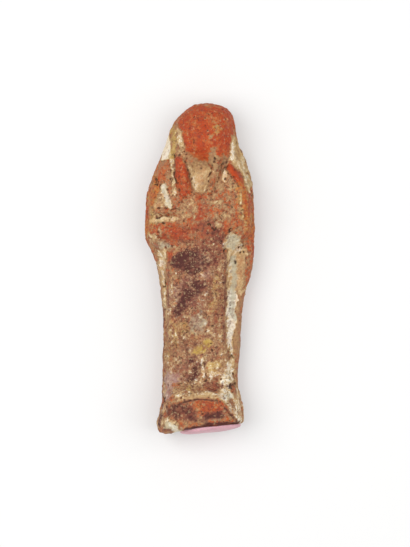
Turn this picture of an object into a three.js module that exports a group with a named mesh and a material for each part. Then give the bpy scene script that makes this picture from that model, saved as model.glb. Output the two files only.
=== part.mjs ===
// A small mould-pressed clay ushabti, worn smooth, with a soft pad pressed on the sole of its foot.
// It lies on its back: +Z leaves its front, +Y runs to the crown of its head, and +X is to the right of
// someone who looks down on it. The origin is on the flat of its back, half way along. Millimetres.
import * as THREE from "three";
import { mergeVertices } from "three/addons/utils/BufferGeometryUtils.js";

// ---- driving dimensions -------------------------------------------------------------------------
const CROWN_Y = 55; // top of the head
const BROW_Y = 45; // where the dome of the head begins
const SOLE_Y = -52.75; // middle of the foot's front lip
const LIP_Z = 21; // height of that lip
const CROWN_SHIFT_X = 2.1; // the worn crown leans to the right
const SEAM_Z = 7.6; // height of the widest line, where the mould's two edges met
const CROWN_Z = 9.5; // height of the crown's tip
const SLAB_POWER = 2.4; // 2 is a round section, more is a squarer one
const BACK_POWER = 2.7;

const SOLE_ROLL = 0.11; // the sole is lower on the left: millimetres of Y for each millimetre of X
const SOLE_RAKE = 0.06; // and lower at the heel: millimetres of Y for each millimetre of Z
const SOLE_ROUNDING = 1.1; // radius of the worn edge round the sole
const TOE_RISE = 6.2; // the foot's step above the shins
const TOE_RISE_ON_SLAB = 0.4; // the share of that step that the slab makes too
const TOE_ARC_Y = -42.7; // middle of the toe ridge
const TOE_ARC_BEND = 0.012; // how the ridge's ends drop: millimetres for each square millimetre
const TOE_ARC_CORNER_X = 6; // from here on the right it drops far more
const TOE_ARC_CORNER_BEND = 0.11;
const TOE_CREST = 0.6; // length of the ridge's worn top
const TOE_FRONT_SLOPE = 0.17; // the broken front of the toes falls away from the ridge
const INSTEP_RUN = 4.6; // length of the slope from the shins up to the toe ridge

const RINGS_ON_DOME = 10;
const RING_STEP = 1.4;
const SLAB_STEPS = 4; // across the slab on each side of the figure
const FIGURE_STEPS = 26;
const FRONT_STEPS = SLAB_STEPS + FIGURE_STEPS + SLAB_STEPS;
const BACK_STEPS = 18;
const EVEN_SHARE = 0.4; // how even the steps across a span are: 1 is all even
const SOLE_CORNER_RINGS = 3;
const SOLE_RING_SHARES = [0.78, 0.52, 0.26];
const SOLE_MIDDLE = [0, 10.5]; // X and Z
const LEAST_SLAB = 0.9; // the least that the slab shows beside the figure
const CARVED_EDGE_POWER = 8; // the carving fades out at the outline this sharply

// ---- shape helpers ------------------------------------------------------------------------------
const clamp01 = (t) => Math.min(1, Math.max(0, t));

function smoothstep(from, to, value) {
  const t = clamp01((value - from) / (to - from));
  return t * t * (3 - 2 * t);
}

// Height of a unit superellipse over t, from 1 at its middle to 0 at its rim.
function superArc(t, power) {
  return Math.pow(1 - Math.pow(clamp01(Math.abs(t)), power), 1 / power);
}

// A smooth curve through [y, value] points, listed from the head down, that never overshoots them.
function profile(points) {
  const rising = [...points].reverse();
  const ys = rising.map((p) => p[0]);
  const vs = rising.map((p) => p[1]);
  const last = ys.length - 1;
  const slopes = [];
  for (let i = 0; i < last; i++) slopes.push((vs[i + 1] - vs[i]) / (ys[i + 1] - ys[i]));
  const tangents = ys.map((_, i) => {
    if (i === 0 || i === last) return slopes[Math.max(0, i - 1)];
    const [before, after] = [slopes[i - 1], slopes[i]];
    return before * after <= 0 ? 0 : (2 * before * after) / (before + after);
  });
  return (y) => {
    if (y <= ys[0]) return vs[0];
    if (y >= ys[last]) return vs[last];
    const i = ys.findIndex((v) => v > y) - 1;
    const h = ys[i + 1] - ys[i];
    const t = (y - ys[i]) / h;
    const [t2, t3] = [t * t, t * t * t];
    return (
      vs[i] * (2 * t3 - 3 * t2 + 1) +
      tangents[i] * h * (t3 - 2 * t2 + t) +
      vs[i + 1] * (3 * t2 - 2 * t3) +
      tangents[i + 1] * h * (t3 - t2)
    );
  };
}

// ---- outline, front and back --------------------------------------------------------------------
const leftEdge = profile([
  [BROW_Y, -10.6],
  [40.7, -11.8],
  [36, -14.1],
  [29, -16.7],
  [24, -18.1],
  [13, -18.7], // elbow
  [8, -17.8],
  [3, -15.6],
  [-3, -14.1],
  [-9, -13.2],
  [-20, -12.4],
  [-32, -12.8],
  [-43, -13.1],
  [-47.5, -13.9],
  [-49.8, -14.7], // corner of the foot
  [-51.6, -14.1],
]);
const rightEdge = profile([
  [BROW_Y, 12],
  [40.7, 13.1],
  [36, 15.1],
  [27, 17.7],
  [22, 18],
  [7, 18.3], // elbow
  [1, 17.9],
  [-3, 17.1],
  [-8, 15.4],
  [-16, 14.3],
  [-30, 13.2],
  [-38, 12.6],
  [-43, 13.5],
  [-47, 14.5],
  [-50.5, 14.7],
]);

// How much of the brow's section is left towards the crown, which is worn flat.
const domeShare = profile([
  [CROWN_Y, 0],
  [54.5, 0.43],
  [53.5, 0.58],
  [52, 0.72],
  [50, 0.845],
  [48, 0.935],
  [BROW_Y, 1],
]);

// The figure itself stands up from a thinner slab. These are the figure's own edges.
const figureLeft = profile([
  [BROW_Y, -9.8],
  [38.5, -10],
  [36, -12],
  [33, -14.4],
  [26, -17.2],
  [13, -18.9],
  [9, -16.8],
  [4, -12.6],
  [-6, -11.2],
  [-34, -11.2],
  [-43, -12.8],
  [-50, -14.9],
]);
const figureRight = profile([
  [BROW_Y, 11.4],
  [40, 11.5],
  [36.5, 12.6],
  [33, 14.2],
  [29, 16],
  [23, 17.6],
  [14, 18],
  [10, 15.4],
  [4, 10.2],
  [-4, 8.6],
  [-24, 8.8],
  [-35, 9.8],
  [-42, 12.8],
  [-50, 14.5],
]);

const figureHeight = profile([
  [BROW_Y, 20.2], // face, worn away
  [40, 20],
  [36, 18.2], // throat
  [30, 17.6],
  [20, 18.8], // hands
  [12, 19],
  [5, 17.9], // waist
  [-8, 17.2],
  [-28, 16.2],
  [-38, 15.6], // shins
  [-50, 15],
]);
const figurePower = profile([
  [BROW_Y, 2.3], // round head
  [34, 2.5],
  [12, 2.7],
  [0, 3.1], // flatter legs
  [-36, 3.1],
  [-44, 3.6], // square foot
]);
const slabHeight = profile([
  [BROW_Y, 12.4],
  [30, 13.2],
  [10, 13.6],
  [-6, 13],
  [-30, 12.2],
  [-42, 13],
]);
const backDepth = profile([
  [BROW_Y, 1.2],
  [36, 0.1],
  [26, -0.35], // shoulder blades
  [8, -0.3],
  [-14, -0.2],
  [-44, -0.3], // heel
  [-50, -0.1],
]);

// ---- carving ------------------------------------------------------------------------------------
// Where a form's top ends and its foot lies, as shares of its half width.
const [RIDGE_TOP, RIDGE_FOOT] = [0.25, 1.15];
const [BOSS_TOP, BOSS_FOOT] = [0.35, 1.1];

// A rounded ridge along a line, or with a negative height a groove.
function ridge([x1, y1], [x2, y2], halfWidth, height) {
  const [dx, dy] = [x2 - x1, y2 - y1];
  return (x, y) => {
    const t = clamp01(((x - x1) * dx + (y - y1) * dy) / (dx * dx + dy * dy));
    const away = Math.hypot(x - x1 - t * dx, y - y1 - t * dy) / halfWidth;
    return height * (1 - smoothstep(RIDGE_TOP, RIDGE_FOOT, away));
  };
}

// A rounded boss, or with a negative height a hollow.
function boss([cx, cy], [rx, ry], height, turn = 0) {
  const [c, s] = [Math.cos(turn), Math.sin(turn)];
  return (x, y) => {
    const [dx, dy] = [x - cx, y - cy];
    const away = Math.hypot((dx * c + dy * s) / rx, (dy * c - dx * s) / ry);
    return height * (1 - smoothstep(BOSS_TOP, BOSS_FOOT, away));
  };
}

const CARVING = [
  boss([3, 46.5], [8.8, 11.5], 1.7, -0.08), // what is left of the face
  boss([-8.2, 44.5], [1.8, 6.5], -0.9), // wig beside the face, on the left
  boss([-0.4, 31.2], [3.9, 7.4], -1.5), // hollow between the wig's lappets
  ridge([-6.8, 37.5], [-5.2, 25.4], 2.6, 1.3), // left lappet
  ridge([5.6, 36.5], [2.6, 25.6], 2.3, 1.2), // right lappet
  ridge([-9.9, 36], [-9.2, 24], 1.3, -0.9), // groove outside the left lappet
  ridge([7.9, 35], [6.9, 27.5], 1.3, -0.9), // groove outside the right lappet
  ridge([-13.4, 35], [-17, 16], 2.4, 0.9), // left upper arm
  ridge([10.3, 34], [16.4, 20], 2.5, 1.1), // right upper arm
  ridge([16.6, 20], [16.9, 12], 2.2, 0.8), // right elbow
  boss([-12.2, 26.2], [2.3, 5.2], -1.1, 0.42), // hollow inside the left arm
  ridge([-15, 20], [-8, 18.4], 1.7, 0.8), // left forearm, upper edge
  ridge([-15.5, 16.6], [-8.2, 16.4], 1.3, -0.8), // groove under it
  ridge([-13.5, 12.5], [-3, 10.8], 2.8, 0.9), // left forearm, lower edge
  boss([1.2, 18.8], [8.6, 4.4], 0.9, 0.05), // the two crossed hands
  ridge([4, 13], [13, 15], 2.4, 0.6), // right forearm
  boss([10.9, 8.8], [3.9, 5.2], -1.6, -0.3), // hollow under the right elbow
  boss([-12.6, 8.4], [3, 4.2], -1.2, 0.5), // hollow under the left elbow
  ridge([9.9, 2], [10.4, -36], 1.7, -1), // channel beside the legs, on the right
  ridge([-12, 3], [-11.7, -26], 1, -0.6), // and on the left
  boss([9.6, -43.4], [3.4, 3.2], -1.3, -0.5), // dip above the right of the foot
  boss([-10.6, -50.8], [4.4, 2.8], 1.1), // lump of clay at the foot's left corner
];

// Height of the toe ridge's line across the foot: it falls away steeply on the right.
function toeArcY(x) {
  const pastCorner = Math.max(0, x - TOE_ARC_CORNER_X);
  return TOE_ARC_Y - TOE_ARC_BEND * x * x - TOE_ARC_CORNER_BEND * pastCorner ** 2;
}

function toeRise(x, y) {
  const arc = toeArcY(x);
  const wornFront = TOE_FRONT_SLOPE * Math.max(0, arc - y);
  return TOE_RISE * smoothstep(arc + INSTEP_RUN, arc - TOE_CREST, y) - wornFront;
}

// The four lines of a section: the slab's two edges, and between them the figure's.
function sectionEdges(y) {
  const [left, right] = [leftEdge(y), rightEdge(y)];
  return [
    left,
    Math.max(left + LEAST_SLAB, figureLeft(y)),
    Math.min(right - LEAST_SLAB, figureRight(y)),
    right,
  ];
}

// How far across a span x is, from -1 to 1.
function shareAcross(x, from, to) {
  return Math.max(-1, Math.min(1, (2 * x - from - to) / (to - from)));
}

// Height of the front over a point of the plan.
function frontZ(x, y) {
  const [left, figureFrom, figureTo, right] = sectionEdges(y);
  const edge = shareAcross(x, left, right);
  const slab = SEAM_Z + (slabHeight(y) - SEAM_Z) * superArc(edge, SLAB_POWER);
  const across = superArc(shareAcross(x, figureFrom, figureTo), figurePower(y));
  const figure = (figureHeight(y) - slab) * across;
  const carved = CARVING.reduce((sum, form) => sum + form(x, y), 0);
  const toe = toeRise(x, y) * (TOE_RISE_ON_SLAB + (1 - TOE_RISE_ON_SLAB) * across);
  const inside = 1 - Math.pow(Math.abs(edge), CARVED_EDGE_POWER);
  return slab + figure + (carved + toe) * inside;
}

function backZ(y, edge) {
  const z = SEAM_Z - (SEAM_Z - backDepth(y)) * superArc(edge, BACK_POWER);
  return Math.max(0, z);
}

// ---- the body as rings --------------------------------------------------------------------------
// Each ring runs from the left edge over the front to the right edge, and back under the figure.
const RING_SIZE = FRONT_STEPS + BACK_STEPS;

// Place of step i across a span, with the steps closing up towards both ends.
function spread(i, steps, from, to) {
  const even = (2 * i) / steps - 1;
  const share = EVEN_SHARE * even + (1 - EVEN_SHARE) * Math.sin((even * Math.PI) / 2);
  return (from + to + share * (to - from)) / 2;
}

function frontX(i, [left, figureFrom, figureTo, right]) {
  if (i < SLAB_STEPS) return left + ((figureFrom - left) * i) / SLAB_STEPS;
  const onFigure = i - SLAB_STEPS;
  if (onFigure <= FIGURE_STEPS) return spread(onFigure, FIGURE_STEPS, figureFrom, figureTo);
  return figureTo + ((right - figureTo) * (onFigure - FIGURE_STEPS)) / SLAB_STEPS;
}

// On the dome of the head the brow's section keeps its shape and shrinks to the crown's tip.
function ringPoint(y, i) {
  const edges = sectionEdges(y);
  const onFront = i < FRONT_STEPS;
  const x = onFront ? frontX(i, edges) : spread(i - FRONT_STEPS, BACK_STEPS, edges[3], edges[0]);
  const z = onFront ? frontZ(x, y) : backZ(y, shareAcross(x, edges[0], edges[3]));
  const dome = domeShare(y);
  const shift = CROWN_SHIFT_X * smoothstep(BROW_Y, CROWN_Y, y);
  return [x * dome + shift, y, CROWN_Z + (z - CROWN_Z) * dome];
}

function solePlaneY(x, z) {
  return SOLE_Y + SOLE_ROLL * x - SOLE_RAKE * (LIP_Z - z);
}

// The sole is that plane, with the lump of clay hanging over it at the foot's left corner.
const soleLump = boss([-12, 16], [4.2, 7], 0.9);
function soleY(x, z) {
  return solePlaneY(x, z) - soleLump(x, z);
}

function ringStations() {
  const stations = [];
  for (let i = RINGS_ON_DOME - 1; i > 0; i--) {
    const angle = (i / RINGS_ON_DOME) * (Math.PI / 2);
    stations.push(BROW_Y + (CROWN_Y - BROW_Y) * Math.sin(angle));
  }
  const shaft = BROW_Y - (SOLE_Y + SOLE_ROUNDING);
  const count = Math.round(shaft / RING_STEP);
  for (let i = 0; i <= count; i++) stations.push(BROW_Y - (shaft * i) / count);
  return stations;
}

function bodyGeometry() {
  const positions = [];
  const stations = ringStations();
  const lastY = stations[stations.length - 1];
  for (const y of stations) {
    for (let i = 0; i < RING_SIZE; i++) {
      const [x, , z] = ringPoint(y, i);
      const onToSole = smoothstep(TOE_ARC_Y, lastY, y);
      positions.push(x, y + (soleY(x, z) + SOLE_ROUNDING - lastY) * onToSole, z);
    }
  }
  // Rings that turn the worn corner and then cross the sole to its middle.
  const [soleX, soleZ] = SOLE_MIDDLE;
  const rim = [...Array(RING_SIZE).keys()].map((i) => ringPoint(lastY, i));
  const soleRings = [];
  for (let i = 1; i <= SOLE_CORNER_RINGS; i++) {
    const angle = (i / SOLE_CORNER_RINGS) * (Math.PI / 2);
    const inset = SOLE_ROUNDING * (1 - Math.cos(angle));
    soleRings.push({ inset, drop: SOLE_ROUNDING * Math.sin(angle), share: 1 });
  }
  for (const share of SOLE_RING_SHARES) {
    soleRings.push({ inset: SOLE_ROUNDING, drop: SOLE_ROUNDING, share });
  }
  for (const { inset, drop, share } of soleRings) {
    for (const [rx, , rz] of rim) {
      const reach = Math.hypot(rx - soleX, rz - soleZ);
      const keep = (1 - inset / reach) * share;
      const [x, z] = [soleX + (rx - soleX) * keep, soleZ + (rz - soleZ) * keep];
      positions.push(x, soleY(x, z) + SOLE_ROUNDING - drop, Math.max(0, z));
    }
  }
  const ringCount = stations.length + soleRings.length;
  const crownTip = positions.length / 3;
  positions.push(CROWN_SHIFT_X, CROWN_Y, CROWN_Z);
  positions.push(soleX, soleY(soleX, soleZ), soleZ);
  const soleMiddle = crownTip + 1;

  const faces = [];
  const at = (ring, i) => ring * RING_SIZE + (i % RING_SIZE);
  const apart = (a, b) =>
    Math.hypot(...[0, 1, 2].map((k) => positions[3 * a + k] - positions[3 * b + k]));
  for (let i = 0; i < RING_SIZE; i++) {
    faces.push(crownTip, at(0, i), at(0, i + 1));
    for (let ring = 0; ring + 1 < ringCount; ring++) {
      const [a, b] = [at(ring, i), at(ring, i + 1)];
      const [c, d] = [at(ring + 1, i), at(ring + 1, i + 1)];
      // The shorter diagonal follows the carving better.
      if (apart(a, d) <= apart(b, c)) faces.push(a, c, d, a, d, b);
      else faces.push(a, c, b, c, d, b);
    }
    faces.push(at(ringCount - 1, i), soleMiddle, at(ringCount - 1, i + 1));
  }
  const geometry = new THREE.BufferGeometry();
  geometry.setAttribute("position", new THREE.Float32BufferAttribute(positions, 3));
  geometry.setIndex(faces);
  return mergeVertices(geometry, 1e-4);
}

// ---- the pad under the foot ---------------------------------------------------------------------
const PAD_HALF_WIDTH = 10.3;
const PAD_HALF_HEIGHT = 8.6;
const PAD_THICKNESS = 1.5;
const PAD_CENTRE_X = 3.3;
const PAD_CENTRE_Z = 10.6;
const PAD_GAP = 0.3; // between the sole and the pad
const PAD_SIDES = 40;
const PAD_RIM_STEPS = 6;
const PAD_FLAT = 0.4; // radius of the flat in its middle, as a share of the whole
const PAD_BACK = 0.93; // radius of the side that is pressed on the sole
const PAD_RIM = 0.25; // thickness at the rim, as a share of the whole

// A round pad, flat in the middle and rolled over at its rim, as one turned profile made oval.
function padGeometry() {
  const outline = [[0, 0], [PAD_BACK, 0]];
  for (let i = 0; i <= PAD_RIM_STEPS; i++) {
    const angle = (i / PAD_RIM_STEPS) * (Math.PI / 2);
    const radius = PAD_FLAT + (1 - PAD_FLAT) * Math.cos(angle);
    outline.push([radius, PAD_THICKNESS * (PAD_RIM + (1 - PAD_RIM) * Math.sin(angle))]);
  }
  outline.push([0, PAD_THICKNESS]);
  const turned = new THREE.LatheGeometry(
    outline.map(([r, h]) => new THREE.Vector2(r, h)),
    PAD_SIDES,
  );
  turned.deleteAttribute("normal");
  turned.deleteAttribute("uv");
  return mergeVertices(turned.scale(PAD_HALF_WIDTH, 1, PAD_HALF_HEIGHT), 1e-4);
}

function basePad() {
  const pad = new THREE.Mesh(
    padGeometry(),
    new THREE.MeshStandardMaterial({ color: 0xd58fa4, roughness: 0.6, metalness: 0 }),
  );
  pad.name = "base_pad";
  // The turned profile's axis leaves the sole square to it.
  const out = new THREE.Vector3(SOLE_ROLL, -1, SOLE_RAKE).normalize();
  const across = new THREE.Vector3(1, 0, 0).projectOnPlane(out).normalize();
  const turn = new THREE.Matrix4().makeBasis(across, out, across.clone().cross(out));
  pad.quaternion.setFromRotationMatrix(turn);
  pad.position
    .set(PAD_CENTRE_X, solePlaneY(PAD_CENTRE_X, PAD_CENTRE_Z), PAD_CENTRE_Z)
    .addScaledVector(out, PAD_GAP);
  return pad;
}

function clayBody() {
  const body = new THREE.Mesh(
    bodyGeometry(),
    new THREE.MeshStandardMaterial({ color: 0xa5704f, roughness: 0.8, metalness: 0 }),
  );
  body.name = "ushabti_body";
  return body;
}

const ushabti = new THREE.Group();
ushabti.add(clayBody(), basePad());

export default ushabti;
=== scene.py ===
"""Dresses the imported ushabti: its worn clay with what is left of the slip, and the pad under its foot."""

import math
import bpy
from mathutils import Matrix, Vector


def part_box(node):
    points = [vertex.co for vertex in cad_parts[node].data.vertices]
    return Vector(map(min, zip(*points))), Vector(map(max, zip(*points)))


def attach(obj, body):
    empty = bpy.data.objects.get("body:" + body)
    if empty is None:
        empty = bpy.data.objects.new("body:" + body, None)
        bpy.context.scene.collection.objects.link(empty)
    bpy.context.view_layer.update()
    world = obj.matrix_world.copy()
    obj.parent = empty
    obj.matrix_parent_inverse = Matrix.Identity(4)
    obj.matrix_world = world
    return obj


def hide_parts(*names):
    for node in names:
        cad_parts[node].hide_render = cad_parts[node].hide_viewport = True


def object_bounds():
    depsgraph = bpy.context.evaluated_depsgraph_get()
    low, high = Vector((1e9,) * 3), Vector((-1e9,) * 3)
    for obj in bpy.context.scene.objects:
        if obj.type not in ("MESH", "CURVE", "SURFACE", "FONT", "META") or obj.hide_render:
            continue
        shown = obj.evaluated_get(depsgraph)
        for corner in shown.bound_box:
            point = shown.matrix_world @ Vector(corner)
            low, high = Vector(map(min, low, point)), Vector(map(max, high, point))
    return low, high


bl_info = {
    "name": "Worn clay ushabti",
    "version": (1, 0, 0),
    "blender": (4, 5, 0),
    "location": "View3D > Sidebar > Ushabti",
    "description": "Builds the weathered clay figure, its foot pad and a plain studio round the packed model",
    "category": "Object",
}

from types import SimpleNamespace

import bpy
import numpy as np
from mathutils import Color, Vector

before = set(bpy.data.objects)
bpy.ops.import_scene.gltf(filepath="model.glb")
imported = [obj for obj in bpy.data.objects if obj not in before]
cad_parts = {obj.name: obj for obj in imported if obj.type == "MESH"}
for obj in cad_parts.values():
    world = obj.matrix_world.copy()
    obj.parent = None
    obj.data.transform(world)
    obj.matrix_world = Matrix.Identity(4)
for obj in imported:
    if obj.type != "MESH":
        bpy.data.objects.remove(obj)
CAD_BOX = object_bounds()

BODY_NODE, PAD_NODE = "ushabti_body", "base_pad"
BODY_LOW, BODY_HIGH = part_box(BODY_NODE)

# Places and sizes below are drawn in millimetres on a body of this length, and follow the frame's own.
DRAWN_LENGTH = 110.3
MM = (BODY_HIGH.y - BODY_LOW.y) / DRAWN_LENGTH


# ---- settings -----------------------------------------------------------------------------------
def length_setting(name, description, millimetres):
    return bpy.props.FloatProperty(
        name=name, description=description, default=millimetres * MM, min=0, unit="LENGTH"
    )


def share_setting(name, description, share):
    return bpy.props.FloatProperty(
        name=name, description=description, default=share, min=0, max=1, subtype="FACTOR"
    )


def colour_setting(name, description, rgb):
    return bpy.props.FloatVectorProperty(
        name=name, description=description, default=rgb, size=3, min=0, max=1, subtype="COLOR"
    )


class UshabtiClay(bpy.types.PropertyGroup):
    mesh_grain: length_setting("Mesh grain", "Size of the faces of the fine clay mesh", 0.36)
    unevenness: length_setting("Unevenness", "How far the hand-pressed surface wanders", 0.3)
    grit: length_setting("Grit", "How far the coarse grains of the clay stand out", 0.09)
    slip_thickness: length_setting("Slip thickness", "Thickness of the pale coat where it is left", 0.16)
    pit_depth: length_setting("Pit depth", "Depth of the pits that burnt-out chaff has left", 0.3)
    red_clay: colour_setting("Red clay", "Bare worn clay", (0.45, 0.053, 0.010))
    orange_clay: colour_setting("Orange clay", "Bare clay with a breath of slip on it", (0.52, 0.132, 0.033))
    brown_film: colour_setting("Brown film", "Thin dirty rests of slip", (0.372, 0.210, 0.104))
    tan_film: colour_setting("Tan film", "Thicker rests of slip, soaked with dirt", (0.46, 0.275, 0.122))
    cream_slip: colour_setting("Cream slip", "Slip that has kept most of its colour", (0.64, 0.46, 0.238))
    white_slip: colour_setting("White slip", "Clean slip at its full thickness", (0.84, 0.76, 0.62))
    grey_slip: colour_setting("Grey-green slip", "Slip that has gone grey and green", (0.46, 0.435, 0.315))
    wash: colour_setting("Wash", "Purple-brown that a stain leaves round its core", (0.205, 0.069, 0.043))
    dark_stain: colour_setting("Dark stain", "Purple-brown core of a stain", (0.070, 0.018, 0.016))
    ochre: colour_setting("Ochre", "Yellow stain", (0.53, 0.35, 0.07))
    lilac: colour_setting("Lilac", "Pale lilac haze", (0.42, 0.28, 0.27))
    # This dark colours the dark flecks and the pits, and is the painted shade in hollows, down the sides and
    # round the slip's rims.
    grime_and_shade: colour_setting("Grime", "Dirt in pits and hollows and round the slip", (0.055, 0.024, 0.013))


class UshabtiPad(bpy.types.PropertyGroup):
    mesh_grain: length_setting("Mesh grain", "Size of the faces of the pad's mesh", 0.25)
    colour: colour_setting("Pad colour", "Pink of the pad under the foot", (0.60, 0.325, 0.37))
    waviness: length_setting("Waviness", "How far the pad's surface was pressed out of true", 0.12)
    squeeze: length_setting("Squeeze", "How far the pad's back swells into the worn sole", 0.45)


class UshabtiStage(bpy.types.PropertyGroup):
    floor_colour: colour_setting("Floor", "Colour of the floor", (1.0, 0.999, 0.994))
    floor_matt: share_setting("Floor, matt", "How much of the light from above the floor gives back", 0.62)
    floor_glow: share_setting("Floor glow", "Light that comes up through the floor", 0.235)
    camera_height: length_setting("Camera height", "Height of the camera above the figure", 1500)
    view_length: length_setting("View length", "Length of the floor that the picture's height shows", 182.9)


# ---- fields over the surface --------------------------------------------------------------------
# Large odd numbers that scatter a cell's place and its seed over the bits of a word.
MIX_X, MIX_Y, MIX_Z, MIX_SEED, MIX_LAST = 374761393, 668265263, 2147483647, 1274126177, 2246822519
WORD = 0xFFFFFFFF
OCTAVE_SHIFT = 17.3  # keeps the cells of one octave off those of the next
LUMP_GAIN = 1.6  # brings the mean of the octaves back to about -1 to 1


def ramp(value, low, high):
    t = np.clip((value - low) / (high - low), 0, 1)
    return t * t * (3 - 2 * t)


def lattice(cells, seed):
    """A fixed pseudo-random number from -1 to 1 for each whole-numbered cell."""
    x, y, z = (cells[..., k].astype(np.int64) for k in range(3))
    h = (x * MIX_X + y * MIX_Y + z * MIX_Z + seed * MIX_SEED) & WORD
    h = ((h ^ (h >> 13)) * MIX_SEED) & WORD
    h = ((h ^ (h >> 16)) * MIX_LAST) & WORD
    return ((h ^ (h >> 15)) & 0xFFFFFF) / 0x7FFFFF - 1


def lumps(points, size, seed, octaves=3):
    """Smooth noise from about -1 to 1, whose largest lumps are size across, in drawn millimetres."""
    total, weight = np.zeros(len(points)), 0
    for octave in range(octaves):
        share = 0.5**octave
        p = points / size * 2**octave + OCTAVE_SHIFT * octave
        cell = np.floor(p)
        f = p - cell
        f = f * f * (3 - 2 * f)
        value = np.zeros(len(points))
        for corner in np.ndindex(2, 2, 2):
            near = np.prod(np.where(corner, f, 1 - f), axis=1)
            value += near * lattice(cell + np.array(corner), seed + octave)
        total += share * value
        weight += share
    return total / weight * LUMP_GAIN


PIT_DRIFT = 0.38  # how far a pit lies off the middle of its cell, in cells
PIT_RADIUS, PIT_SPREAD = 0.34, 0.16  # its mean radius and how far that varies, in cells


def pits(points, size, seed, share):
    """Round pits about size across, in that share of the cells: 1 at a pit's middle and 0 outside it."""
    p = points / size
    home = np.floor(p)
    deepest = np.zeros(len(points))
    for step in np.ndindex(3, 3, 3):
        cell = home + np.array(step) - 1
        middle = cell + 0.5 + PIT_DRIFT * np.stack([lattice(cell, seed + k) for k in range(3)], axis=1)
        there = lattice(cell, seed + 3) < 2 * share - 1
        radius = PIT_RADIUS + PIT_SPREAD * lattice(cell, seed + 4)
        away = np.linalg.norm(p - middle, axis=1) / radius
        deepest = np.maximum(deepest, np.where(there, 1 - ramp(away, 0.3, 1), 0))
    return deepest


def streak(start, end, half, end_half=None):
    """How deep each point lies inside a round-ended stroke, whose half width may change to its end."""
    a, d = np.array(start), np.subtract(end, start)
    growth = (half if end_half is None else end_half) - half

    def depth(xy):
        t = np.clip((xy - a) @ d / (d @ d), 0, 1)
        return half + growth * t - np.linalg.norm(xy - a - t[:, None] * d, axis=1)

    return depth


def blot(centre, radii, turn=0):
    """How deep each point lies inside an oval. Turn is in degrees."""
    c, s = math.cos(math.radians(turn)), math.sin(math.radians(turn))

    def depth(xy):
        d = xy - np.array(centre)
        along, across = d @ np.array([c, s]), d @ np.array([-s, c])
        return (1 - np.hypot(along / radii[0], across / radii[1])) * min(radii)

    return depth


# ---- where each coat is left --------------------------------------------------------------------
# X to the right and Y to the head, in drawn millimetres. A stroke is how far the value goes, how soft
# its edge is, and its shape. Later strokes lie over earlier ones.

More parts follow.
